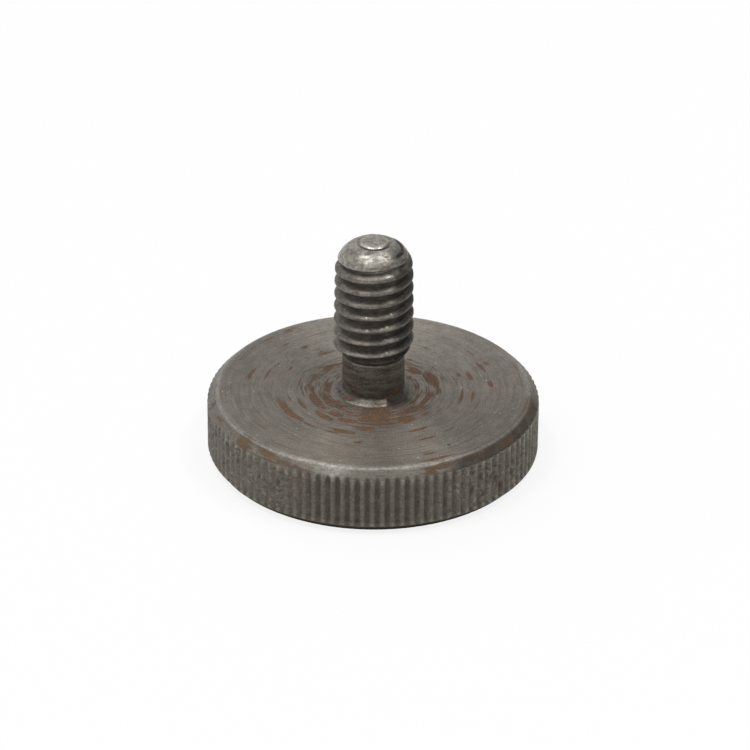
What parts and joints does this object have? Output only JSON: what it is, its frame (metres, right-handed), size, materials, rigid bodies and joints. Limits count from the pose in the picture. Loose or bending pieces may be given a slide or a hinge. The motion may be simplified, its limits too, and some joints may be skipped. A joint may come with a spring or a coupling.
{
  "type": "thumb screw",
  "caption": "Low knurled thumb screw in bare steel: a flat disc head with a straight-knurled rim, a plain neck and a short right-hand threaded stud with a rounded tip",
  "frame": {"origin": "centre of the head's flat underside, on the screw's axis", "axes": "+Z runs along the stud from the head to the tip. +X and +Y lie in the underside; -Y is the side that the main view shows"},
  "size_m": [0.024, 0.024, 0.017],
  "materials": {
    "turned_steel": "bare turned steel, dulled with age, with specks of brown rust"
  },
  "bodies": {
    "root": {"thumb_screw": "turned_steel"}
  },
  "joints": []
}
